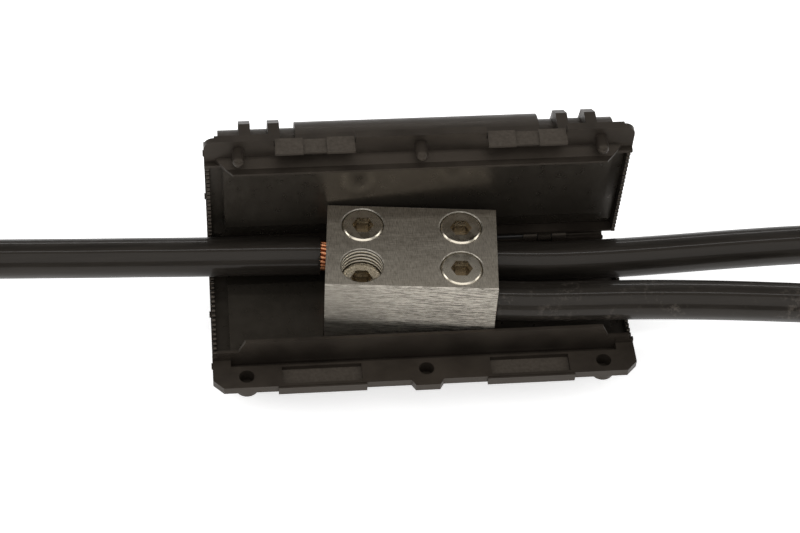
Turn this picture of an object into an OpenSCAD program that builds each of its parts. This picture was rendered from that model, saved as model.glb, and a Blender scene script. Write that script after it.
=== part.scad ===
// Gel filled splice closure lying open, with a four port tap block and three heavy cables.
// Each half is drawn in one half frame: X along the cables, Y away from the hinge axis,
// Z outward from the plane where the halves meet. place_base and place_cover set it in the model.

/* [Closure] */
// Length of both halves along the cables
closure_l = 178; // [160:1:200]
// Width of the flanges from the room of the base to the latch edge
flange_land = 16.4; // [16:0.2:19]
// Distance from the meeting plane to each flange face
flange_gap = 2.2; // [2:0.1:2.6]
// Depth of the base from the meeting plane to its flat back
base_depth = 27; // [26:0.2:30]
// Depth of the low ends of the cover from the meeting plane
cover_depth = 25.8; // [24.6:0.2:28]
// Wall thickness of the moulded halves
wall = 1.6; // [1.2:0.1:2]
// Wall thickness along the hinge side
rear_wall = 1.2; // [1:0.1:1.4]
// Width of the room inside the base past the width of the block, which lies turned in it
block_room = 7.2; // [6.8:0.1:7.6]
// Outer corner radius of the base below the latch side
base_corner_r = 10; // [8:0.5:11]
// Outer corner radius of the cover behind the latch side
cover_corner_r = 12; // [8:0.5:13]
// Outer corner radius of both halves behind the hinge side
rear_corner_r = 6; // [4:0.5:7]
// Length of the cable mouth at each end, outside the gel tub
mouth_l = 6; // [4:0.5:12]
// Height of the hinge axis above the meeting plane, on the side of the cover
hinge_rise = 3.5; // [3.2:0.1:4]
// Angle between the faces of the two halves as they lie
open_angle = 86.4; // [60:0.4:100]

/* [Flange and lips] */
// Thickness of the base flange
base_flange_t = 3.6; // [3:0.1:4.5]
// Thickness of the cover flange
cover_flange_t = 2.4; // [2:0.1:3]
// Cut at the corners of the base flange and rounding of those of the cover
corner_cut = 4.4; // [2:0.2:6]
// Thickness of the inner lip of the base
base_lip_t = 1.4; // [1.2:0.1:1.6]
// Height of the base lip above the base flange
base_lip_h = 11; // [8:0.5:12]
// Height of the low ends of the base lip above the base flange
base_lip_low = 4.5; // [3:0.5:6]
// Length of the base lip at its full height
base_lip_l = 150; // [140:1:152]
// Room between the two lips when shut
lip_slack = 2; // [1.8:0.1:2.1]
// Thickness of the cover lip at its tip
cover_lip_t = 1.2; // [1.1:0.1:1.3]
// Height of the cover lip above the cover flange
cover_lip_h = 7.6; // [6:0.2:8]
// Length of the cover lip at its tip
cover_lip_l = 155; // [145:1:157]
// Flare of the cover lip at its root
lip_flare = 1.8; // [1:0.1:2]

/* [Pins and latches] */
// Distance from the middle to each outer locating pin
pin_x = 75; // [70:0.5:77]
// Distance from the room of the base to the locating pins
pin_land = 10.6; // [10.4:0.1:11]
// Radius of the locating pins
pin_r = 2.45; // [2:0.05:2.6]
// Length of the locating pins
pin_l = 8.2; // [7:0.1:9]
// Slack around a pin in its socket
pin_slack = 0.75; // [0.6:0.05:0.8]
// Depth of the sockets in the base flange
socket_depth = 6; // [5.8:0.1:7]
// Distance from the middle to each latch
latch_x = 43.7; // [40:0.5:46]
// Width of each outer latch prong
prong_w = 11.4; // [9:0.2:11.6]
// Width of the low prong between them
mid_prong_w = 9.8; // [8:0.2:10]
// Thickness of the prongs
prong_t = 1.9; // [1.5:0.1:2.1]
// Set-back of the outer face of the prongs from the latch edge
prong_inset = 1.8; // [1.7:0.1:2.2]
// Reach of the prongs past the meeting plane
prong_h = 3; // [2:0.1:4]
// Length of each latch pocket in the base flange
pocket_l = 33.2; // [33:0.1:36]
// Width of each latch pocket
pocket_w = 8.8; // [8:0.2:9]
// Depth of each latch pocket
pocket_depth = 2.2; // [1.5:0.1:2.4]
// Width of the thumb tab at its root
tab_w = 14.8; // [10:0.2:20]
// Reach of the thumb tab past the flange
tab_l = 2.8; // [2:0.2:6]

/* [Back of the halves] */
// Length of the raised middle of the cover
dome_l = 102; // [90:1:106]
// Rise of the middle above the back of the cover
dome_rise = 2.4; // [2:0.2:4.4]
// Thickness of each outer rib
rib_t = 4.8; // [3:0.2:6]
// Distance from the middle to the inner ribs
rib_x1 = 60; // [58:0.5:62]
// Distance from the middle to the outer ribs
rib_x2 = 72; // [70:0.5:76]

/* [Hinge] */
// Radius of the hinge rod
rod_r = 1.25; // [1:0.05:1.4]
// Running clearance of the rod in its knuckles
rod_slack = 0.05; // [0.02:0.01:0.08]
// Radius of the hinge knuckles
knuckle_r = 2.3; // [2.2:0.05:2.3]
// Length of each knuckle
knuckle_l = 6; // [4:0.5:8]
// Gap between neighbouring knuckles
knuckle_gap = 0.4; // [0.3:0.05:0.6]
// Distance between the hinge stations
station_pitch = 58; // [50:1:62]

/* [Cable mouths] */
// Depth of the cable mouths below the meeting plane
mouth_depth = 14.9; // [12:0.1:16]
// Distance of the inner faces of the finger strips from the ends
strip_inset = 2; // [1.8:0.2:4]
// Thickness of the finger strips
strip_t = 1.4; // [1:0.1:1.8]
// Pitch of the fingers
finger_pitch = 2.56; // [2.3:0.02:2.8]
// Slit between two fingers
finger_slit = 0.5; // [0.4:0.05:0.7]

/* [Gel] */
// Level of the gel below the meeting plane
gel_level = 1.6; // [1.4:0.1:2]
// Level of the gel at the cable mouths below the meeting plane
mouth_gel_level = 5; // [3:0.5:8]
// Width of the sloping gel along the hinge side
gel_slope_w = 13; // [8:0.5:16]

/* [Tap block] */
// Length of the block
block_l = 71.2; // [66:0.2:71.2]
// Width of the block
block_w = 44.6; // [43.4:0.2:44.6]
// Height of the block
block_h = 36.7; // [36:0.1:38]
// Height of the top of the block above the meeting plane
block_top = 33.8; // [33.5:0.1:35]
// Turn of the block in the closure
block_turn = 5.3; // [0:0.1:5.3]
// Shift of the block along the closure
block_shift = -4.4; // [-10:0.2:2]
// Distance between the two rows of ports
row_pitch = 22.4; // [21.6:0.1:22.6]
// Distance of the screws from the ends of the block
screw_inset = 15; // [14:0.1:15.5]
// Radius of the cable ports
port_r = 9.2; // [8.9:0.05:9.4]
// Thickness of the web between the ends of two ports
web_t = 5.2; // [4:0.1:8]
// Depth of the port axis below the top of the block
port_drop = 17.7; // [17.5:0.1:19]

/* [Set screws] */
// Radius of the set screws
screw_r = 8.65; // [8.3:0.05:8.75]
// Clearance around a set screw
screw_slack = 0.05; // [0.03:0.01:0.08]
// Length of the set screws
screw_l = 13.8; // [12:0.1:13.9]
// Distance across the flats of the hexagon sockets
hex_af = 8; // [6:0.5:10]
// Depth of the hexagon sockets
hex_depth = 7.5; // [5:0.5:10]
// Depth of the screw that is run down over the empty port
sunk_depth = 8; // [5:0.1:8.2]

/* [Cables] */
// Radius of the cable jacket
cable_r = 8.4; // [7.5:0.1:8.5]
// Radius of the stranded conductor
conductor_r = 6.4; // [5.8:0.05:6.4]
// Length of bare conductor between the block and the jacket of the left cable
left_bare_l = 2.5; // [1.5:0.1:6]
// Length of bare conductor between the block and the jackets of the right cables
right_bare_l = 0.6; // [0.4:0.1:4]

/* [Hidden] */
$fn = 64;

big = 400;
sliver = 0.01;
seat = 0.1;

// Places across the half frame
rear_out = knuckle_r + 0.3;
room_rear = rear_out + rear_wall;
room_w = block_w + block_room;
base_room_front = room_rear + room_w;
flange_w = base_room_front + flange_land;
pin_w = base_room_front + pin_land;
prong_reach = flange_w - prong_inset;
base_lip_out = base_room_front + base_lip_t;
cover_room_front = base_lip_out + lip_slack;
cover_lip_out = cover_room_front + cover_lip_t;
base_out = base_room_front + wall;
cover_back_front = cover_room_front - 1;
cover_out = cover_back_front + wall;
rim_top = 0.3;
cover_rear_rim = 2.4;
half_l = closure_l / 2;
tub_l = closure_l - 2 * mouth_l;
collar_depth = mouth_depth + wall;
collar_r = 6;
strip_x = half_l - strip_inset;

// Trench in the base flange that takes the cover lip
trench_slack = 0.7;
trench_depth = cover_lip_h - 2 * flange_gap + 0.8;
trench_out = cover_lip_out + trench_slack;
trench_floor = 1.6;
shoulder_depth = 7.8;
flare_n = -2.6;
step_w = 12;

// Latches
pocket_out = prong_reach + 0.5;
bulge_l = 36.8;
bulge_out = 0.9;
bulge_low = 0.8;
slot_l = 9;
slot_w = 1.3;
notch_l = 2 * prong_w + mid_prong_w + 0.8;
mid_prong_step = 0.9;
mid_prong_short = 2;
mid_prong_rise = 0.5;
ridge_w = 1.6;
ridge_h = 1;
boss_wall = 1.8;

// Ribs and feet
dome_out = cover_out + dome_rise;
dome_r = cover_corner_r + dome_rise;
dome_depth = cover_depth + dome_rise;
dome_rear = 4;
cover_rib_reach = flange_w - 5.2;
base_rib_reach = flange_w - 10;
rib_drop = 13.8;
rib_slope = 6;
foot_top = 8;
foot_w = 8;
bead_r = 1.4;
bead_inset = 6.1;
bead_rear = room_rear + room_w / 3;
bead_front = base_room_front - bead_inset;

// Hinge
knuckle_step = knuckle_l + knuckle_gap;
stop_l = 8;
stop_gap = 0.2;
rod_l = 2 * station_pitch + 3 * knuckle_l + 2 * knuckle_gap;
arm_depth = 9;
arm_top = 0.6;
bar_l = tub_l + 2;
knuckle_room = knuckle_r + 0.45;

// Gel
gel_slope_n = 5.3;

// Block and screws, measured from the hinge axis
block_y = -room_rear - room_w / 2;
screw_pitch = block_l - 2 * screw_inset;
port_depth = (block_l - web_t) / 2;
conductor_drop = port_drop + port_r - conductor_r - 0.1;
hole_r = screw_r + screw_slack;
hole_depth = sunk_depth + screw_l + 0.1;
hole_chamfer = 0.6;
edge_cut = 0.6;
screw_chamfer = 0.7;

// Heights of the meeting plane and of the hinge axis, with the origin under the middle of the base
meet_z = base_depth;
axis_z = meet_z + hinge_rise;
axis_y = 30;

// Cable routes: distance out of the port and sideways shift, the same in the dressed model
left_route = [[left_bare_l, 0], [20, 0.8], [40, 2], [60, 3.2], [80, 4.2], [100, 5.3], [125, 6.5], [150, 7.8]];
rear_right_route = [
    [right_bare_l, 0], [20, 0.4], [40, 2], [60, 4.3], [80, 7], [100, 9.8], [125, 13], [150, 15.6]
];
front_right_route = [
    [right_bare_l, 0], [20, 0.3], [40, 1.5], [60, 2.7], [80, 3.4], [100, 3.7], [125, 3.6], [150, 3.2]
];
cable_sides = 12;

// Lays a half frame shape into the base
module place_base() {
    translate([0, axis_y, meet_z]) rotate([180, 0, 0]) children();
}

// Lays a half frame shape into the open cover
module place_cover() {
    translate([0, axis_y, axis_z]) rotate([-open_angle, 0, 0]) translate([0, 0, -hinge_rise])
        mirror([0, 1, 0]) children();
}

// Puts the middle of the top of the block at the origin of its children
module place_block() {
    translate([block_shift, axis_y + block_y, meet_z + block_top]) rotate([0, 0, -block_turn]) children();
}

// Puts a port mouth at the origin, with X out of the block; end is 1 right or -1 left, row is 1 rear
module place_port(end, row, drop) {
    turn = end > 0 ? 0 : 180;
    place_block() translate([end * block_l / 2, row * row_pitch / 2, -drop]) rotate([0, 0, turn]) children();
}

// Pushes an outline in the half frame's Y and Z along X, centred
module along_x(length) {
    rotate([90, 0, 90]) linear_extrude(length, center = true) children();
}

// Pushes an outline in X and Z across the half frame's Y
module across_y(y0, y1) {
    translate([0, y1, 0]) rotate([90, 0, 0]) linear_extrude(y1 - y0) children();
}

// Box between two corners
module block_between(low, high) {
    translate(low) cube(high - low);
}

// Tub section from a rear wall to a front wall, with its own radius at each back corner
module tub_outline(y0, y1, top, depth, rear_r, front_r) {
    middle = (y0 + y1) / 2;
    translate([y0, top]) square([middle + 1 - y0, depth - rear_r - top]);
    translate([middle, top]) square([y1 - middle, depth - front_r - top]);
    translate([y0 + rear_r, top]) square([y1 - y0 - rear_r - front_r, depth - top]);
    translate([y0 + rear_r, depth - rear_r]) circle(rear_r);
    translate([y1 - front_r, depth - front_r]) circle(front_r);
}

// Solid body of a half: tub and end collars, without its room
module body_solid(front, depth, front_r) {
    along_x(tub_l) tub_outline(rear_out, front, rim_top, depth, rear_corner_r, front_r);
    along_x(closure_l) tub_outline(rear_out, front, rim_top, collar_depth, collar_r, collar_r);
}

// Room of a half, open at the top and at both ends
module body_room(front, depth, front_r) {
    along_x(tub_l - 2 * wall)
        tub_outline(room_rear, front, -big, depth - wall, rear_corner_r - rear_wall, front_r - wall);
    along_x(closure_l + 2)
        tub_outline(room_rear, front, -big, mouth_depth, collar_r - wall, collar_r - wall);
}

// Flange with cut corners along the latch side
module cut_flange(y0, thick) {
    across = flange_w - corner_cut;
    translate([0, 0, flange_gap]) linear_extrude(thick) polygon([
        [-half_l, y0], [half_l, y0], [half_l, across], [half_l - corner_cut, flange_w],
        [-half_l + corner_cut, flange_w], [-half_l, across]
    ]);
}

// Flange with round corners along the latch side
module round_flange(y0, thick) {
    across = flange_w - corner_cut;
    inside = half_l - corner_cut;
    translate([0, 0, flange_gap]) linear_extrude(thick) {
        translate([-half_l, y0]) square([closure_l, across - y0]);
        translate([-inside, y0]) square([2 * inside, flange_w - y0]);
        for (x = [-inside, inside]) translate([x, across]) circle(corner_cut);
    }
}

// Gusset between the flange and the side wall
module latch_rib(x, reach, front, depth) {
    translate([x, 0, 0]) along_x(rib_t) polygon([
        [front - 1, flange_gap + 1], [reach, flange_gap + 1], [reach, flange_gap + rib_drop],
        [reach - rib_slope + 1, flange_gap + rib_drop + rib_slope], [front - 1.5 * rib_slope, depth - 1]
    ]);
}

// Foot that squares the hinge side of the back
module hinge_foot(x, depth) {
    translate([x - rib_t / 2, 0, 0])
        block_between([0, rear_out, foot_top], [rib_t, rear_out + foot_w, depth]);
}

// Ribs and feet at both ends
module ribs(reach, front, depth) {
    for (side = [-1, 1], x = [rib_x1, rib_x2]) {
        latch_rib(side * x, reach, front, depth);
        hinge_foot(side * x, depth);
    }
}

// Half round beads on the end faces
module end_beads() {
    for (side = [-1, 1], y = [bead_rear, bead_front])
        translate([side * half_l, y, mouth_depth + wall / 2]) rotate([0, 90, 0])
            cylinder(h = 1, r = bead_r, center = true);
}

// Hinge knuckle at a height over the half, with its arm to the rear wall from a rim height down
module knuckle(x, height, rim) {
    translate([x, 0, 0]) {
        translate([0, 0, height]) rotate([0, 90, 0]) cylinder(h = knuckle_l, r = knuckle_r, center = true);
        block_between([-knuckle_l / 2, -knuckle_r, height], [knuckle_l / 2, knuckle_r, arm_depth]);
        block_between([-knuckle_l / 2, 0, rim], [knuckle_l / 2, rear_out + rear_wall / 2, arm_depth]);
    }
}

// Stop behind a base knuckle that the opened cover leans on
module open_stop(x) {
    translate([x - knuckle_l / 2, 0, -hinge_rise])
        block_between([0, -stop_l, stop_gap - knuckle_r], [knuckle_l, 0, knuckle_r]);
}

// Bar that closes the slit between the halves, with a gap for each cover knuckle
module hinge_bar() {
    difference() {
        union() {
            block_between([-bar_l / 2, -knuckle_r, -hinge_rise], [bar_l / 2, knuckle_r, arm_depth]);
            block_between([-bar_l / 2, 0, arm_top], [bar_l / 2, rear_out + rear_wall / 2, arm_depth]);
        }
        for (x = cover_knuckles()) translate([x - knuckle_l / 2 - knuckle_gap, 0, 0])
            block_between([0, -knuckle_room, -big], [knuckle_l + 2 * knuckle_gap, knuckle_room, knuckle_room - hinge_rise]);
    }
}

// Where the knuckles of the base and of the cover stand
function base_knuckles() = [for (s = [-1, 0, 1], k = [-1, 1]) s * station_pitch + k * knuckle_step];
function cover_knuckles() = [for (s = [-1, 0, 1]) s * station_pitch];

// Bore of the hinge rod
module rod_bore(height) {
    translate([0, 0, height]) rotate([0, 90, 0]) cylinder(h = big, r = rod_r + rod_slack, center = true);
}

module base_shell() {
    lip_top = flange_gap - base_lip_h;
    lip_low = flange_gap - base_lip_low;
    x1 = base_lip_l / 2;
    x2 = x1 + 3;
    x3 = half_l - 2;
    floor_n = flange_gap + trench_depth + trench_floor;
    color([0.09, 0.085, 0.08]) place_base() difference() {
        union() {
            body_solid(base_out, base_depth, base_corner_r);
            cut_flange(base_room_front, base_flange_t);
            ribs(base_rib_reach, base_out, base_depth);
            // Shoulder under the trench
            block_between([-half_l, base_room_front, flange_gap], [half_l, trench_out + 1.4, floor_n]);
            // Inner lip
            across_y(base_room_front, base_lip_out) polygon([
                [-x3, 4], [-x3, lip_low], [-x2, lip_low], [-x1, lip_top],
                [x1, lip_top], [x2, lip_low], [x3, lip_low], [x3, 4]
            ]);
            // Socket bosses
            for (x = [-pin_x, 0, pin_x]) translate([x, pin_w, flange_gap])
                cylinder(h = socket_depth + 1.2, r = pin_r + pin_slack + boss_wall);
            // Bulged rim at the latches
            for (side = [-1, 1]) translate([side * latch_x - bulge_l / 2, flange_w - 3, flange_gap + 0.3])
                cube([bulge_l, 3 + bulge_out, base_flange_t + bulge_low - 0.3]);
            // Thumb tab
            translate([0, 0, flange_gap]) linear_extrude(base_flange_t) polygon([
                [-tab_w / 2, flange_w - 1], [tab_w / 2, flange_w - 1],
                [tab_w / 2 - 2.3, flange_w + tab_l], [-tab_w / 2 + 2.3, flange_w + tab_l]
            ]);
            end_beads();
            hinge_bar();
            for (x = base_knuckles()) {
                knuckle(x, -hinge_rise, arm_top);
                open_stop(x);
            }
        }
        body_room(base_room_front, base_depth, base_corner_r);
        rod_bore(-hinge_rise);
        // Trench outside the lip
        along_x(tub_l - 2 * wall) translate([base_lip_out, -big])
            square([trench_out - base_lip_out, big + flange_gap + trench_depth]);
        for (x = [-pin_x, 0, pin_x]) translate([x, pin_w, flange_gap - 1])
            cylinder(h = socket_depth + 1, r = pin_r + pin_slack);
        for (side = [-1, 1]) {
            translate([side * latch_x - pocket_l / 2, pocket_out - pocket_w, flange_gap - 1])
                cube([pocket_l, pocket_w, pocket_depth + 1]);
            translate([side * latch_x - slot_l / 2, pocket_out - slot_w - 0.4, 0])
                cube([slot_l, slot_w, big]);
        }
    }
}

module cover_shell() {
    tip = flange_gap - cover_lip_h;
    x1 = cover_lip_l / 2;
    x2 = x1 + 7;
    color([0.08, 0.075, 0.07]) place_cover() difference() {
        union() {
            body_solid(cover_out, cover_depth, cover_corner_r);
            round_flange(cover_room_front, cover_flange_t);
            ribs(cover_rib_reach, cover_out, cover_depth);
            // Raised middle of the back
            along_x(dome_l)
                tub_outline(rear_out + dome_rear, dome_out, flange_gap + 1, dome_depth, rear_corner_r, dome_r);
            // Shoulder behind the flange
            block_between([-tub_l / 2, cover_room_front - 2, flange_gap], [tub_l / 2, cover_lip_out + 1, shoulder_depth]);
            // Inner lip, flared at its root
            intersection() {
                along_x(closure_l) polygon([
                    [cover_room_front, tip], [cover_lip_out, tip], [cover_lip_out, flare_n],
                    [cover_lip_out + lip_flare, flange_gap], [cover_lip_out + lip_flare, flange_gap + 1],
                    [cover_room_front, flange_gap + 1]
                ]);
                across_y(cover_room_front - 1, flange_w) polygon([
                    [-x2, 4], [-x2, flange_gap], [-x1, tip], [x1, tip], [x2, flange_gap], [x2, 4]
                ]);
            }
            // Ridge along the flange edge
            translate([-half_l + corner_cut, flange_w - ridge_w, flange_gap + cover_flange_t - 0.5])
                cube([closure_l - 2 * corner_cut, ridge_w, ridge_h + 0.5]);
            // Locating pins with round ends
            for (x = [-pin_x, 0, pin_x]) translate([x, pin_w, flange_gap + 1]) {
                translate([0, 0, pin_r - pin_l - 1]) cylinder(h = pin_l + 1 - pin_r, r = pin_r);
                translate([0, 0, pin_r - pin_l - 1]) sphere(pin_r);
            }
            end_beads();
            for (x = cover_knuckles()) knuckle(x, hinge_rise, cover_rear_rim);
        }
        body_room(cover_back_front, cover_depth, cover_corner_r);
        // Rim of the hinge side, cut back so that it clears the block as the cover swings
        block_between([-closure_l, rear_out - 1, -1], [closure_l, room_rear + 1, cover_rear_rim]);
        // Step behind the lip
        along_x(tub_l - 2 * wall) translate([cover_room_front - step_w, -big])
            square([step_w, big + shoulder_depth - wall]);
        along_x(dome_l - 2 * wall)
            tub_outline(room_rear + dome_rear, dome_out - wall, flange_gap + cover_flange_t + wall,
                dome_depth - wall, rear_corner_r - rear_wall, dome_r - wall);
        rod_bore(hinge_rise);
        for (side = [-1, 1]) translate([side * latch_x, 0, 0]) cover_notch();
    }
    color([0.16, 0.155, 0.15]) place_cover() for (side = [-1, 1]) translate([side * latch_x, 0, 0]) prongs();
}

// Gap in the cover flange edge where a latch stands
module cover_notch() {
    translate([-notch_l / 2, prong_reach - prong_t, -big / 2]) cube([notch_l, 10, big]);
}

// Two prongs with a low one between them
module prongs() {
    root = prong_reach - prong_t - 1;
    top = flange_gap + cover_flange_t;
    for (side = [-1, 1])
        translate([side * (mid_prong_w + prong_w) / 2 - prong_w / 2, prong_reach - prong_t, -prong_h])
            cube([prong_w, prong_t, top + prong_h]);
    translate([-mid_prong_w / 2, prong_reach - prong_t, mid_prong_rise - prong_h])
        cube([mid_prong_w, prong_t - mid_prong_step, top + prong_h - mid_prong_rise - mid_prong_short]);
    translate([-notch_l / 2 + 1, root, flange_gap])
        cube([notch_l - 2, 1 + prong_t / 2, cover_flange_t]);
}

module hinge_rod() {
    color([0.12, 0.115, 0.11]) translate([0, axis_y, axis_z]) rotate([0, 90, 0])
        cylinder(h = rod_l, r = rod_r, center = true);
}

// Outline under the gel surface, which slopes away along the hinge side
module gel_cut() {
    polygon([
        [room_rear, gel_level + gel_slope_n], [room_rear + gel_slope_w, gel_level], [big, gel_level],
        [big, big], [room_rear, big]
    ]);
}

// Gel of a half, a hair clear of the walls
module gel_body(front, depth, front_r) {
    along_x(tub_l - 2 * wall - 2 * seat) intersection() {
        tub_outline(room_rear + seat, front - seat, -1, depth - wall - seat,
            rear_corner_r - rear_wall - seat, front_r - wall - seat);
        gel_cut();
    }
    along_x(2 * strip_x - 2 * seat) intersection() {
        tub_outline(room_rear + seat, front - seat, mouth_gel_level, mouth_depth - seat,
            collar_r - wall - seat, collar_r - wall - seat);
        gel_cut();
    }
}

module base_gel() {
    color([0.13, 0.13, 0.12]) difference() {
        place_base() gel_body(base_room_front, base_depth, base_corner_r);
        place_block() translate([0, 0, -block_h / 2])
            cube([block_l + 0.6, block_w + 0.6, block_h + 0.6], center = true);
    }
}

module cover_gel() {
    color([0.13, 0.13, 0.12]) place_cover() {
        gel_body(cover_back_front, cover_depth, cover_corner_r);
        along_x(dome_l - 2 * wall - 2 * seat) intersection() {
            tub_outline(room_rear + dome_rear + seat, dome_out - wall - seat, flange_gap + cover_flange_t + wall + seat,
                dome_depth - wall - seat, rear_corner_r - rear_wall - seat, dome_r - wall - seat);
            gel_cut();
        }
    }
}

// Strip of fingers across a cable mouth; side is -1 for the left end and 1 for the right
module finger_strip(side, front) {
    inside = front - room_rear - 2 * seat;
    count = floor((inside + finger_slit) / finger_pitch);
    first = (room_rear + front) / 2 - (count - 1) * finger_pitch / 2;
    tip_r = (finger_pitch - finger_slit) / 2;
    root = mouth_depth - 3.4;
    x0 = side > 0 ? strip_x : -strip_x - strip_t;
    translate([x0 + strip_t / 2, 0, 0]) intersection() {
        union() {
            block_between([-strip_t / 2, 0, root], [strip_t / 2, flange_w, mouth_depth]);
            for (i = [0 : count - 1]) translate([0, first + i * finger_pitch, 0]) {
                block_between([-strip_t / 2, -tip_r, rim_top + tip_r], [strip_t / 2, tip_r, root + 1]);
                translate([0, 0, rim_top + tip_r]) rotate([0, 90, 0])
                    cylinder(h = strip_t, r = tip_r, center = true, $fn = 32);
            }
        }
        along_x(strip_t + 2)
            tub_outline(room_rear + seat, front - seat, -1, mouth_depth - seat,
                collar_r - wall - seat, collar_r - wall - seat);
    }
}

module base_left_fingers() {
    color([0.1, 0.095, 0.09]) place_base() finger_strip(-1, base_room_front);
}

module base_right_fingers() {
    color([0.1, 0.095, 0.09]) place_base() finger_strip(1, base_room_front);
}

module cover_left_fingers() {
    color([0.1, 0.095, 0.09]) place_cover() finger_strip(-1, cover_back_front);
}

module cover_right_fingers() {
    color([0.1, 0.095, 0.09]) place_cover() finger_strip(1, cover_back_front);
}

module splice_block() {
    c = edge_cut;
    w = block_w / 2;
    color([0.78, 0.77, 0.74]) place_block() difference() {
        rotate([90, 0, 90]) linear_extrude(block_l, center = true) polygon([
            [-w, -c], [-w + c, 0], [w - c, 0], [w, -c],
            [w, c - block_h], [w - c, -block_h], [c - w, -block_h], [-w, c - block_h]
        ]);
        for (end = [-1, 1], row = [-1, 1]) {
            translate([end * block_l / 2, row * row_pitch / 2, -port_drop]) rotate([0, -90 * end, 0])
                translate([0, 0, -1]) cylinder(h = port_depth + 1, r = port_r);
            translate([end * screw_pitch / 2, row * row_pitch / 2, -hole_depth])
                cylinder(h = hole_depth + 1, r = hole_r);
            translate([end * screw_pitch / 2, row * row_pitch / 2, -hole_chamfer])
                cylinder(h = hole_chamfer + sliver, r1 = hole_r, r2 = hole_r + hole_chamfer);
        }
    }
}

// Set screw with a hexagon socket, its top a given depth below the top of the block
module set_screw(end, row, depth) {
    color([0.8, 0.77, 0.7]) place_block()
        translate([end * screw_pitch / 2, row * row_pitch / 2, -depth]) difference() {
            union() {
                translate([0, 0, -screw_l]) cylinder(h = screw_l - screw_chamfer, r = screw_r);
                translate([0, 0, -screw_chamfer])
                    cylinder(h = screw_chamfer, r1 = screw_r, r2 = screw_r - screw_chamfer);
            }
            translate([0, 0, -hex_depth]) cylinder(h = hex_depth + 1, d = hex_af / cos(30), $fn = 6);
        }
}

module rear_left_screw() {
    set_screw(-1, 1, 0);
}

module front_left_screw() {
    set_screw(-1, -1, sunk_depth);
}

module rear_right_screw() {
    set_screw(1, 1, 0);
}

module front_right_screw() {
    set_screw(1, -1, 0);
}

// Round bundle of strands, from inside the port to the cut jacket
module conductor(end, row, bare) {
    strand_r = conductor_r / 5;
    ring = 4 * strand_r;
    color([0.72, 0.4, 0.24]) place_port(end, row, conductor_drop)
        rotate([0, 90, 0]) translate([0, 0, 2 - port_depth]) linear_extrude(port_depth - 2 + bare) {
            circle(ring + 0.2);
            for (i = [0 : 11]) rotate(i * 30) translate([ring, 0]) circle(strand_r, $fn = 24);
        }
}

module left_conductor() {
    conductor(-1, 1, left_bare_l);
}

module rear_right_conductor() {
    conductor(1, 1, right_bare_l);
}

module front_right_conductor() {
    conductor(1, -1, right_bare_l);
}

// Heading of a route at one of its points
function heading(route, i) =
    i == 0 ? 0 : let (j = min(i + 1, len(route) - 1), d = route[j] - route[i - 1]) atan2(d[1], d[0]);

// Ring of points around a route point
function ring_points(route, i) =
    let (a = heading(route, i), p = route[i])
    [for (k = [0 : cable_sides - 1]) let (t = 360 * (k + 0.5) / cable_sides, side = cable_r * cos(t))
        [p[0] - side * sin(a), p[1] + side * cos(a), cable_r * sin(t)]];

// Jacket swept along a route
module cable_tube(route) {
    n = cable_sides;
    last = len(route) - 1;
    polyhedron(
        points = [for (i = [0 : last]) each ring_points(route, i)],
        faces = concat(
            [[for (k = [0 : n - 1]) k]],
            [for (i = [0 : last - 1], k = [0 : n - 1])
                [i * n + k, (i + 1) * n + k, (i + 1) * n + (k + 1) % n, i * n + (k + 1) % n]],
            [[for (k = [n - 1 : -1 : 0]) last * n + k]]
        )
    );
}

module left_cable() {
    color([0.07, 0.07, 0.07]) place_port(-1, 1, conductor_drop) cable_tube(left_route);
}

module rear_right_cable() {
    color([0.07, 0.07, 0.07]) place_port(1, 1, conductor_drop) cable_tube(rear_right_route);
}

module front_right_cable() {
    color([0.07, 0.07, 0.07]) place_port(1, -1, conductor_drop) cable_tube(front_right_route);
}

base_shell();
cover_shell();
hinge_rod();
base_gel();
cover_gel();
base_left_fingers();
base_right_fingers();
cover_left_fingers();
cover_right_fingers();
splice_block();
rear_left_screw();
front_left_screw();
rear_right_screw();
front_right_screw();
left_conductor();
rear_right_conductor();
front_right_conductor();
left_cable();
rear_right_cable();
front_right_cable();
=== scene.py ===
"""Looks of an open gel splice closure with a tap block and three cables, in metres."""

import math

import bpy
from mathutils import Matrix, Vector


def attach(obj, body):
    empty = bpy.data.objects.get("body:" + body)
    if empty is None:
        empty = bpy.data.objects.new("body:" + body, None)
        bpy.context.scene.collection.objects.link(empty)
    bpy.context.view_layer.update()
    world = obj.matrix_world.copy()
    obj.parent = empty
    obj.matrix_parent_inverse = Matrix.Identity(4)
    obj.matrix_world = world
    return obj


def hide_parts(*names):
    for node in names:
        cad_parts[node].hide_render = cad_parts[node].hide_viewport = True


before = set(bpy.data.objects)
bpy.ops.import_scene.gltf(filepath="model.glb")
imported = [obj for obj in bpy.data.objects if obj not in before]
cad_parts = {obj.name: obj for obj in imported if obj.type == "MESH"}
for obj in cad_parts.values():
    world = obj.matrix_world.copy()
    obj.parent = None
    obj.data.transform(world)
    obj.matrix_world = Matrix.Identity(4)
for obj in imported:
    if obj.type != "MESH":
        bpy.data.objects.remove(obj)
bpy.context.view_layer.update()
MM = 0.001

# Camera, from a fit to the photograph's edges
IMAGE_W, IMAGE_H = 800, 533
FOCAL_PX = 2055.3
CAMERA_YAW, CAMERA_RISE, CAMERA_ROLL = -7.938, 49.274, 3.624
CAMERA_FAR = 868 * MM
CAMERA_TARGET = Vector((-8.49, 2.89, 45.12)) * MM

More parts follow.
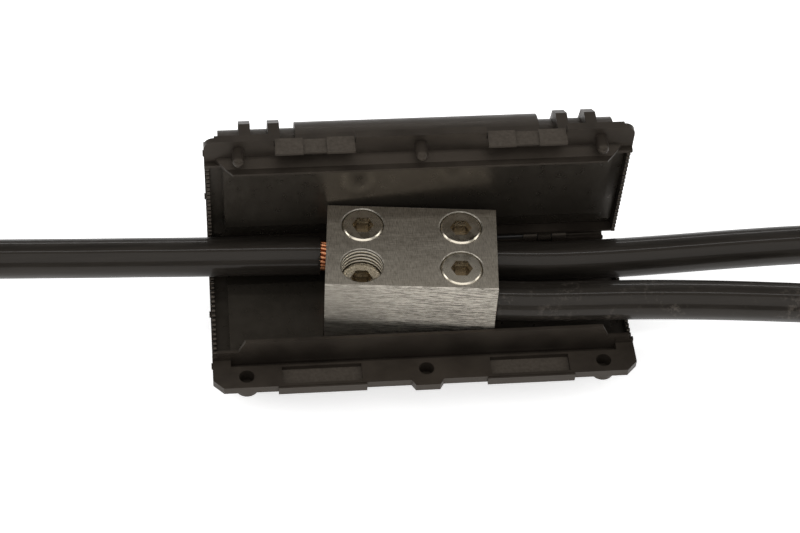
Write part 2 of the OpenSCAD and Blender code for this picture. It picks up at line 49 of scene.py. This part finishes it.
# The part's own sizes, as in its source
MEET_Z = 27 * MM
HINGE_Y, HINGE_Z = 30 * MM, 30.5 * MM
OPEN_ANGLE = 86.4
FLANGE_GAP = 2.2 * MM
BLOCK_L, BLOCK_W, BLOCK_H = 71.2 * MM, 44.6 * MM, 36.7 * MM
BLOCK_TOP = Vector((-4.4, 0.3, 60.8)) * MM
BLOCK_TURN = -5.3
ROW_PITCH, SCREW_PITCH = 22.4 * MM, 41.2 * MM
PORT_R, PORT_DROP = 9.2 * MM, 17.7 * MM
CONDUCTOR_R, CONDUCTOR_DROP = 6.4 * MM, 20.4 * MM
PORT_DEPTH = 33 * MM
CABLE_R = 8.4 * MM
HOLE_R, THREAD_PITCH, SUNK_DEPTH = 8.7 * MM, 2 * MM, 8 * MM
POCKET_DEPTH, PRONG_REACH, LATCH_X = 2.2 * MM, 70.2 * MM, 43.7 * MM

# Cable routes from each port's mouth: distance out and sideways shift, the points of the part's source
ROUTES = {
    "left": [(2.5, 0), (20, 0.8), (40, 2), (60, 3.2), (80, 4.2), (100, 5.3), (125, 6.5), (150, 7.8)],
    "rear_right": [(0.6, 0), (20, 0.4), (40, 2), (60, 4.3), (80, 7), (100, 9.8), (125, 13), (150, 15.6)],
    "front_right": [(0.6, 0), (20, 0.3), (40, 1.5), (60, 2.7), (80, 3.4), (100, 3.7), (125, 3.6), (150, 3.2)],
}
ENDS = {"left": (-1, 1), "rear_right": (1, 1), "front_right": (1, -1)}


def make_camera():
    yaw, rise, roll = (math.radians(a) for a in (CAMERA_YAW, CAMERA_RISE, CAMERA_ROLL))
    back = Vector((math.sin(yaw) * math.cos(rise), -math.cos(yaw) * math.cos(rise), math.sin(rise)))
    right = Vector((math.cos(yaw), math.sin(yaw), 0))
    up = back.cross(right)
    turned_right = right * math.cos(roll) + up * math.sin(roll)
    turned_up = up * math.cos(roll) - right * math.sin(roll)
    data = bpy.data.cameras.new("camera")
    data.sensor_width = 36
    data.lens = FOCAL_PX / IMAGE_W * data.sensor_width
    data.clip_start, data.clip_end = 0.05, 20
    camera = bpy.data.objects.new("camera", data)
    bpy.context.collection.objects.link(camera)
    spot = CAMERA_TARGET + back * CAMERA_FAR
    camera.matrix_world = Matrix((
        (turned_right.x, turned_up.x, back.x, spot.x),
        (turned_right.y, turned_up.y, back.y, spot.y),
        (turned_right.z, turned_up.z, back.z, spot.z),
        (0, 0, 0, 1),
    ))
    bpy.context.scene.camera = camera


def new_object(name, verts, faces, smooth=True):
    mesh = bpy.data.meshes.new(name)
    mesh.from_pydata([tuple(v) for v in verts], [], faces)
    mesh.validate()
    mesh.update()
    if smooth:
        mesh.shade_smooth()
    obj = bpy.data.objects.new(name, mesh)
    bpy.context.collection.objects.link(obj)
    return obj


# Places on the block

BLOCK_MATRIX = Matrix.Translation(BLOCK_TOP) @ Matrix.Rotation(math.radians(BLOCK_TURN), 4, "Z")


def port_matrix(end, row, drop):
    """Port mouth at the origin with X out of the block."""
    spot = Matrix.Translation((end * BLOCK_L / 2, row * ROW_PITCH / 2, -drop))
    turn = Matrix.Rotation(0 if end > 0 else math.pi, 4, "Z")
    return BLOCK_MATRIX @ spot @ turn


# Cables

def smooth_route(points, step=2.5 * MM):
    """Curve through the route's points, in metres, with points about a step apart."""
    flat = [Vector((x, y, 0)) * MM for x, y in points]
    first = flat[0] - (flat[1] - flat[0]).length * Vector((1, 0, 0))
    last = flat[-1] * 2 - flat[-2]
    flat = [first] + flat + [last]
    path = []
    for i in range(1, len(flat) - 2):
        a, b, c, d = flat[i - 1:i + 3]
        count = max(2, round((c - b).length / step))
        for k in range(count):
            t = k / count
            path.append(0.5 * (2 * b + (c - a) * t + (2 * a - 5 * b + 4 * c - d) * t ** 2
                               + (3 * b - a - 3 * c + d) * t ** 3))
    path.append(flat[-2])
    return path


def side_of(path, i):
    """Unit vector to the left of a flat path at a point."""
    ahead = path[min(i + 1, len(path) - 1)] - path[max(i - 1, 0)]
    return Vector((-ahead.y, ahead.x, 0)).normalized()


def make_cable(name):
    end, row = ENDS[name]
    place = port_matrix(end, row, CONDUCTOR_DROP)
    path = smooth_route(ROUTES[name])
    sides, edge = 56, 0.5 * MM
    verts, faces = [], []

    def ring(i, radius, shift=0.0):
        side = side_of(path, i)
        ahead = Vector((side.y, -side.x, 0))
        for k in range(sides):
            t = 2 * math.pi * k / sides
            across = side * math.cos(t) * radius + Vector((0, 0, math.sin(t) * radius))
            verts.append(place @ (path[i] + ahead * shift + across))

    core_r = CONDUCTOR_R + 0.1 * MM
    rings = 0
    for radius, shift in ((core_r, 1.2 * MM), (core_r, 0), (CABLE_R - edge, 0), (CABLE_R - 0.15 * MM, 0.15 * MM)):
        ring(0, radius, shift)
        rings += 1
    for i in range(1, len(path) - 1):
        ring(i, CABLE_R)
        rings += 1
    last = len(path) - 1
    for radius, shift in ((CABLE_R, -0.1 * MM), (CABLE_R - 0.2 * MM, 0), (core_r, 0), (core_r, -1.2 * MM)):
        ring(last, radius, shift)
        rings += 1
    for i in range(rings - 1):
        for k in range(sides):
            a, b = i * sides + k, i * sides + (k + 1) % sides
            faces.append((a, a + sides, b + sides, b))
    faces.append([k for k in range(sides)])
    faces.append([(rings - 1) * sides + sides - 1 - k for k in range(sides)])
    obj = new_object(name + "_jacket", verts, faces)
    obj.data.set_sharp_from_angle(angle=math.radians(50))
    obj.data.materials.append(materials["dusty jacket" if name == "front_right" else "jacket"])
    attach(obj, "splice")
    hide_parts(name + "_cable")
    core = make_core_end(name, place, path)
    return obj


def strand_places(outer_r):
    """Centres of the 37 strands of a round conductor, and a strand's radius."""
    r = outer_r / 7
    places = [(0, 0)]
    for ring, count in ((2, 6), (4, 12), (6, 18)):
        for k in range(count):
            t = 2 * math.pi * k / count
            places.append((ring * r * math.cos(t), ring * r * math.sin(t)))
    return places, r


def bundle(name, place, x0, x1, outer_r, steps, twist):
    """Twisted strands from x0 to x1 along a straight port axis."""
    places, r = strand_places(outer_r)
    sides = 10
    verts, faces = [], []
    for y, z in places:
        start = len(verts)
        for i in range(steps + 1):
            x = x0 + (x1 - x0) * i / steps
            turn = twist * (x - x0)
            cy = y * math.cos(turn) - z * math.sin(turn)
            cz = y * math.sin(turn) + z * math.cos(turn)
            for k in range(sides):
                t = 2 * math.pi * k / sides
                verts.append(place @ Vector((x, cy + r * math.cos(t), cz + r * math.sin(t))))
        for i in range(steps):
            for k in range(sides):
                a, b = start + i * sides + k, start + i * sides + (k + 1) % sides
                faces.append((a, b, b + sides, a + sides))
        faces.append([start + sides - 1 - k for k in range(sides)])
        faces.append([start + steps * sides + k for k in range(sides)])
    obj = new_object(name, verts, faces)
    obj.data.set_sharp_from_angle(angle=math.radians(50))
    obj.data.materials.append(materials["copper"])
    return obj


def make_core_end(name, place, path):
    """Cut face of the conductor at the cable's far end."""
    ahead = (path[-1] - path[-2]).normalized()
    turn = math.atan2(ahead.y, ahead.x)
    there = place @ Matrix.Translation(path[-1]) @ Matrix.Rotation(turn, 4, "Z")
    obj = bundle(name + "_core_end", there, -1.1 * MM, 0.05 * MM, CONDUCTOR_R, 1, 0)
    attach(obj, "splice")
    return obj


def make_conductor(name):
    end, row = ENDS[name]
    place = port_matrix(end, row, CONDUCTOR_DROP)
    obj = bundle(name + "_strands", place, 2 * MM - PORT_DEPTH, (ROUTES[name][0][0] + 1) * MM, CONDUCTOR_R, 24, 22)
    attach(obj, "splice")
    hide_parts(name + "_conductor")


# Materials

WARM = (1, 0.85, 0.7, 1)


class Shader:
    """Small helper round a material's node tree."""

    def __init__(self, name, **sockets):
        self.material = bpy.data.materials.new(name)
        self.material.use_nodes = True
        self.tree = self.material.node_tree
        self.bsdf = self.tree.nodes["Principled BSDF"]
        for key, value in sockets.items():
            self.bsdf.inputs[key.replace("_", " ")].default_value = value

    def node(self, kind, **settings):
        made = self.tree.nodes.new("ShaderNode" + kind)
        for key, value in settings.items():
            setattr(made, key, value)
        return made

    def join(self, source, target):
        self.tree.links.new(source, target)

    def place(self, scale=(1, 1, 1), turn=(0, 0, 0), shift=(0, 0, 0)):
        """Object coordinates, stretched, turned and shifted."""
        coords = self.node("TexCoord")
        mapping = self.node("Mapping")
        mapping.inputs["Scale"].default_value = scale
        mapping.inputs["Rotation"].default_value = turn
        mapping.inputs["Location"].default_value = shift
        self.join(coords.outputs["Object"], mapping.inputs["Vector"])
        return mapping.outputs["Vector"]

    def noise(self, vector, scale, detail=4, rough=0.55, distortion=0.0):
        made = self.node("TexNoise")
        made.inputs["Scale"].default_value = scale
        made.inputs["Detail"].default_value = detail
        made.inputs["Roughness"].default_value = rough
        made.inputs["Distortion"].default_value = distortion
        self.join(vector, made.inputs["Vector"])
        return made.outputs["Fac"]

    def spread(self, value, low, high, from_low=0.3, from_high=0.7, clamp=True):
        """Maps a value's usual range onto another one."""
        made = self.node("MapRange", clamp=clamp)
        made.inputs["From Min"].default_value = from_low
        made.inputs["From Max"].default_value = from_high
        made.inputs["To Min"].default_value = low
        made.inputs["To Max"].default_value = high
        self.join(value, made.inputs["Value"])
        return made.outputs["Result"]

    def math(self, kind, a, b=None):
        made = self.node("Math", operation=kind)
        for socket, value in zip(made.inputs, (a, b)):
            if value is None:
                continue
            if isinstance(value, (int, float)):
                socket.default_value = value
            else:
                self.join(value, socket)
        return made.outputs["Value"]

    def between(self, value, low, high, soft=0.0002):
        """1 where the value is between two limits, with soft edges."""
        up = self.spread(value, 0, 1, low - soft, low + soft)
        down = self.spread(value, 1, 0, high - soft, high + soft)
        return self.math("MULTIPLY", up, down)

    def mix(self, factor, first, second):
        made = self.node("Mix", data_type="RGBA")
        if isinstance(factor, (int, float)):
            made.inputs["Factor"].default_value = factor
        else:
            self.join(factor, made.inputs["Factor"])
        for socket, value in ((made.inputs["A"], first), (made.inputs["B"], second)):
            if isinstance(value, tuple):
                socket.default_value = (*value, 1)
            else:
                self.join(value, socket)
        return made.outputs["Result"]

    def bump(self, height, strength, distance, onto=None):
        made = self.node("Bump")
        made.inputs["Strength"].default_value = strength
        made.inputs["Distance"].default_value = distance
        self.join(height, made.inputs["Height"])
        if onto is not None:
            self.join(onto, made.inputs["Normal"])
        return made.outputs["Normal"]

    def split(self, vector):
        made = self.node("SeparateXYZ")
        self.join(vector, made.inputs["Vector"])
        return made.outputs["X"], made.outputs["Y"], made.outputs["Z"]

    def finish(self, color=None, rough=None, normal=None):
        for key, value in (("Base Color", color), ("Roughness", rough), ("Normal", normal)):
            if value is not None:
                self.join(value, self.bsdf.inputs[key])
        return self.material


def shell_material():
    """Satin plastic, more matt on the latch pads and on the prongs, where a paler colour is painted light."""
    s = Shader("moulded plastic", Specular_IOR_Level=0.34, Specular_Tint=WARM)
    where = s.place()
    cloud = s.noise(where, 60, 5, 0.6)
    grain = s.noise(where, 2600, 2, 0.5)
    flow = s.noise(s.place((1, 6, 6)), 90, 3, 0.6)
    color = s.mix(s.spread(cloud, 0, 1), (0.015, 0.012, 0.0095), (0.028, 0.0225, 0.0175))
    x, y, z = s.split(where)
    pad_z = MEET_Z - FLANGE_GAP - POCKET_DEPTH
    pad = s.between(z, pad_z - 0.1 * MM, pad_z + 0.1 * MM, 0.00003)
    turn = math.radians(OPEN_ANGLE)
    ahead = s.math("MULTIPLY", s.math("SUBTRACT", HINGE_Y, y), math.cos(turn))
    above = s.math("MULTIPLY", s.math("SUBTRACT", z, HINGE_Z), math.sin(turn))
    prong = s.between(s.math("ADD", ahead, above), PRONG_REACH - 1 * MM, PRONG_REACH + 0.1 * MM, 0.00003)
    latch = s.between(s.math("ABSOLUTE", x), LATCH_X - 17 * MM, LATCH_X + 17 * MM)
    # Painted light: the upward faces of the latch pads and prongs get a paler, noise-mottled colour; the extra
    # roughness there is their real matt finish
    matt_and_painted_light_pads = s.math("MULTIPLY", s.math("MAXIMUM", pad, prong), latch)
    painted_light_mottle = s.noise(where, 700, 3, 0.6)
    color = s.mix(matt_and_painted_light_pads, color, s.mix(s.spread(painted_light_mottle, 0, 1), (0.036, 0.030, 0.024), (0.056, 0.047, 0.038)))
    rough = s.spread(s.math("ADD", cloud, s.math("MULTIPLY", flow, 0.5)), 0.36, 0.56, 0.5, 1.0)
    normal = s.bump(grain, 0.25, 0.00003, s.bump(flow, 0.15, 0.0002))
    return s.finish(color, s.math("ADD", rough, s.math("MULTIPLY", matt_and_painted_light_pads, 0.25)), normal)


def gel_material():
    s = Shader("gel", Specular_IOR_Level=0.5, Specular_Tint=WARM, Coat_Weight=0.12, Coat_Roughness=0.22)
    where = s.place()
    cloud = s.noise(where, 35, 3, 0.5)
    ripple = s.noise(where, 50, 2, 0.4)
    fine = s.noise(where, 240, 2, 0.4)
    color = s.mix(s.spread(cloud, 0, 1), (0.018, 0.0155, 0.012), (0.026, 0.0225, 0.018))
    rough = s.spread(fine, 0.26, 0.4)
    normal = s.bump(fine, 0.06, 0.0001, s.bump(ripple, 0.2, 0.001))
    return s.finish(color, rough, normal)


def finger_material():
    s = Shader("soft fingers", Specular_IOR_Level=0.5, Specular_Tint=WARM)
    where = s.place()
    cloud = s.noise(where, 150, 4, 0.6)
    color = s.mix(s.spread(cloud, 0, 1), (0.012, 0.010, 0.008), (0.026, 0.022, 0.018))
    return s.finish(color, s.spread(cloud, 0.24, 0.4), s.bump(s.noise(where, 900), 0.2, 0.0001))


def block_material():
    """Mill finish on the top, coarse saw marks on the sides with painted shade towards the left end, threads in
    the screw holes with painted shade in their valleys and painted highlight on their crests.
    """
    s = Shader("block metal", Metallic=1.0)
    turn = (0, 0, math.radians(-BLOCK_TURN))
    geometry = s.node("NewGeometry")
    local = s.node("Mapping", vector_type="NORMAL")
    local.inputs["Rotation"].default_value = turn
    s.join(geometry.outputs["Normal"], local.inputs["Vector"])
    nx, ny, nz = s.split(local.outputs["Vector"])
    up = s.between(nz, 0.8, 2, 0.1)
    top_lines = s.noise(s.place((1, 14, 14), turn), 260, 5, 0.65)
    top_cloud = s.noise(s.place((1, 1.6, 1), turn), 45, 4, 0.6)
    streak = s.noise(s.place((10, 1, 1), turn), 330, 4, 0.6)
    saw = s.noise(s.place((0.6, 0.6, 9), (0, math.radians(3), turn[2])), 300, 8, 0.85, 0.5)
    pits = s.noise(s.place((1, 1, 3), turn), 700, 3, 0.6)
    top_color = s.mix(s.spread(top_cloud, 0, 1), (0.46, 0.41, 0.335), (0.58, 0.525, 0.44))
    top_color = s.mix(s.spread(top_lines, 0, 0.6, 0.4, 0.62), top_color, (0.72, 0.66, 0.56))
    side_color = s.mix(s.spread(saw, 0, 1, 0.42, 0.58), (0.12, 0.108, 0.088), (0.72, 0.67, 0.585))
    top_color = s.mix(s.spread(streak, 0, 0.75, 0.45, 0.62), top_color, (0.33, 0.29, 0.23))
    # Painted shade: the sawn sides are darker and duller towards the block's left end
    side_color = s.mix(s.spread(s.split(s.place())[0], 0.55, 0, -0.036, -0.012), side_color, (0.30, 0.275, 0.235))
    color = s.mix(up, side_color, top_color)
    # Threads: lines round the walls of the four screw holes, with painted shade in the valleys and painted
    # highlight on the crests
    back = Matrix.Rotation(math.radians(-BLOCK_TURN), 3, "Z") @ BLOCK_TOP
    hole_x, hole_y, hole_z = s.split(s.place((1, 1, 1), turn, -back))
    across = s.math("SUBTRACT", s.math("ABSOLUTE", hole_x), SCREW_PITCH / 2)
    aside = s.math("SUBTRACT", s.math("ABSOLUTE", hole_y), ROW_PITCH / 2)
    from_axis = s.math("SQRT", s.math("ADD", s.math("MULTIPLY", across, across), s.math("MULTIPLY", aside, aside)))
    wall = s.between(from_axis, HOLE_R - 0.4 * MM, HOLE_R + 0.15 * MM, 0.00005)
    thread = s.math("SINE", s.math("MULTIPLY", hole_z, 2 * math.pi / THREAD_PITCH))
    thread_shade_and_highlight = s.mix(s.spread(thread, 0, 1, -0.3, 0.7), (0.10, 0.085, 0.06), (1.0, 0.95, 0.85))
    color = s.mix(wall, color, thread_shade_and_highlight)
    top_rough = s.spread(top_lines, 0.36, 0.5)
    side_rough = s.spread(saw, 0.4, 0.6)
    mixed = s.node("Mix", data_type="FLOAT")
    s.join(up, mixed.inputs["Factor"])
    s.join(side_rough, mixed.inputs["A"])
    s.join(top_rough, mixed.inputs["B"])
    height = s.node("Mix", data_type="FLOAT")
    s.join(up, height.inputs["Factor"])
    s.join(s.math("ADD", saw, s.math("MULTIPLY", pits, 0.3)), height.inputs["A"])
    s.join(s.math("ADD", s.math("MULTIPLY", top_lines, 0.3), s.math("MULTIPLY", streak, 0.15)), height.inputs["B"])
    ribbed = s.node("Mix", data_type="FLOAT")
    s.join(wall, ribbed.inputs["Factor"])
    s.join(height.outputs["Result"], ribbed.inputs["A"])
    s.join(s.math("MULTIPLY", thread, 2.2), ribbed.inputs["B"])
    return s.finish(color, mixed.outputs["Result"], s.bump(ribbed.outputs["Result"], 0.5, 0.0004))


def screw_material():
    s = Shader("screw plating", Metallic=1.0)
    where = s.place()
    rings = s.noise(s.place((1, 1, 30)), 160, 4, 0.6)
    cloud = s.noise(where, 220, 4, 0.6)
    color = s.mix(s.spread(cloud, 0, 1), (0.62, 0.56, 0.45), (0.80, 0.73, 0.61))
    high = s.split(where)[2]
    top, low = BLOCK_TOP.z, BLOCK_TOP.z - SUNK_DEPTH
    # Painted shade: the screw is darker where it lies down in the sunk hole
    sunk_shade = s.math("MAXIMUM", s.between(high, low + 0.4 * MM, top - 3.4 * MM, 0.0002),
                  s.spread(high, 1, 0, low - 4.6 * MM, low - 3.4 * MM))
    color = s.mix(sunk_shade, color, (0.24, 0.2, 0.145))
    return s.finish(color, s.spread(cloud, 0.2, 0.34), s.bump(rings, 0.15, 0.0002))


def copper_material():
    s = Shader("copper", Metallic=1.0)
    where = s.place()
    cloud = s.noise(where, 300, 4, 0.6)
    color = s.mix(s.spread(cloud, 0, 1), (0.40, 0.14, 0.06), (0.80, 0.38, 0.20))
    return s.finish(color, s.spread(cloud, 0.2, 0.38), s.bump(s.noise(where, 1500), 0.2, 0.0001))


def jacket_material(dusty):
    s = Shader("dusty jacket" if dusty else "jacket", Specular_IOR_Level=0.18, Specular_Tint=WARM,
               Coat_Weight=0.25, Coat_Roughness=0.05)
    where = s.place()
    along = s.place((1, 12, 12))
    flow = s.noise(along, 40, 4, 0.55)
    wrinkle = s.noise(s.place((2.2, 1, 1)), 95, 3, 0.6)
    fine = s.noise(where, 1300, 2, 0.5)
    color = s.mix(s.spread(flow, 0, 1), (0.008, 0.0068, 0.0056), (0.015, 0.0128, 0.0105))
    rough = s.spread(flow, 0.34, 0.5)
    if dusty:
        specks = s.noise(where, 500, 5, 0.7)
        patch = s.noise(where, 60, 3, 0.6)
        dust = s.math("MULTIPLY", s.spread(specks, 0, 1, 0.5, 0.62), s.spread(patch, 0, 0.7, 0.46, 0.6))
        color = s.mix(dust, color, (0.07, 0.06, 0.05))
    normal = s.bump(fine, 0.12, 0.00004, s.bump(wrinkle, 0.3, 0.0005, s.bump(flow, 0.2, 0.0006)))
    return s.finish(color, rough, normal)


def rod_material():
    s = Shader("rod plastic", Specular_IOR_Level=0.5)
    cloud = s.noise(s.place(), 500, 3, 0.6)
    color = s.mix(s.spread(cloud, 0, 1), (0.012, 0.011, 0.010), (0.024, 0.021, 0.019))
    return s.finish(color, s.spread(cloud, 0.35, 0.5), s.bump(cloud, 0.1, 0.0001))


def dress(nodes, material):
    for name in nodes:
        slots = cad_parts[name].data.materials
        slots.clear()
        slots.append(material)


# Stage and light

def make_floor():
    half = 1.6
    points = 24
    verts = [(-half + 2 * half * i / points, -half + 2 * half * j / points, 0)
             for j in range(points + 1) for i in range(points + 1)]
    faces = []
    for j in range(points):
        for i in range(points):
            a = j * (points + 1) + i
            faces.append((a, a + 1, a + points + 2, a + points + 1))
    floor = new_object("floor", verts, faces)
    s = Shader("floor", Roughness=0.9, Specular_IOR_Level=0.1, Emission_Color=(1, 1, 1, 1), Emission_Strength=0.6)
    cloud = s.noise(s.place(), 3, 2, 0.4)
    s.finish(s.mix(s.spread(cloud, 0, 1), (0.93, 0.93, 0.93), (0.95, 0.95, 0.95)))
    floor.data.materials.append(s.material)


def area_light(name, spot, target, size, power):
    data = bpy.data.lights.new(name, "AREA")
    data.shape = "RECTANGLE"
    data.size, data.size_y = size
    data.energy = power
    lamp = bpy.data.objects.new(name, data)
    bpy.context.collection.objects.link(lamp)
    lamp.location = spot
    lamp.rotation_euler = (Vector(target) - Vector(spot)).to_track_quat("-Z", "Y").to_euler()


def make_world():
    world = bpy.data.worlds.new("studio")
    bpy.context.scene.world = world
    world.use_nodes = True
    tree = world.node_tree
    tree.nodes.clear()
    rays = tree.nodes.new("ShaderNodeLightPath")
    seen = tree.nodes.new("ShaderNodeMath")
    seen.operation = "MAXIMUM"
    tree.links.new(rays.outputs["Is Camera Ray"], seen.inputs[0])
    tree.links.new(rays.outputs["Is Transmission Ray"], seen.inputs[1])
    white = tree.nodes.new("ShaderNodeBackground")
    white.inputs["Color"].default_value = (1, 1, 1, 1)
    white.inputs["Strength"].default_value = 1.0
    fill = tree.nodes.new("ShaderNodeBackground")
    fill.inputs["Color"].default_value = (1, 1, 1, 1)
    fill.inputs["Strength"].default_value = 0.28
    mixed = tree.nodes.new("ShaderNodeMixShader")
    out = tree.nodes.new("ShaderNodeOutputWorld")
    tree.links.new(seen.outputs[0], mixed.inputs[0])
    tree.links.new(fill.outputs[0], mixed.inputs[1])
    tree.links.new(white.outputs[0], mixed.inputs[2])
    tree.links.new(mixed.outputs[0], out.inputs["Surface"])


def make_lights():
    area_light("front_top", (-0.15, -0.9, 1.2), (0, 0, 0.04), (2.4, 1.4), 12)
    area_light("top_strip", (0, 0.05, 1.3), (0, 0, 0.04), (2.4, 0.1), 3.5)
    area_light("left", (-1.1, 0.1, 0.7), (0, 0, 0.04), (0.5, 0.7), 2.5)
    area_light("right", (1.1, -0.1, 0.7), (0, 0, 0.04), (0.5, 0.7), 2.5)
    area_light("back_strip", (0, 1.15, 0.66), (0, 0, 0.04), (2.2, 0.1), 4)


materials = {
    "shell": shell_material(),
    "gel": gel_material(),
    "fingers": finger_material(),
    "block": block_material(),
    "screw": screw_material(),
    "copper": copper_material(),
    "jacket": jacket_material(False),
    "dusty jacket": jacket_material(True),
    "rod": rod_material(),
}

bpy.context.scene.view_settings.view_transform = "Standard"
make_camera()
for cable in ROUTES:
    make_cable(cable)
    make_conductor(cable)
dress(["base_shell", "cover_shell"], materials["shell"])
dress(["base_gel", "cover_gel"], materials["gel"])
dress([a + b for a in ("base_", "cover_") for b in ("left_fingers", "right_fingers")], materials["fingers"])
dress(["splice_block"], materials["block"])
dress([a + "_screw" for a in ("rear_left", "front_left", "rear_right", "front_right")], materials["screw"])
dress(["hinge_rod"], materials["rod"])
make_floor()
make_world()
make_lights()
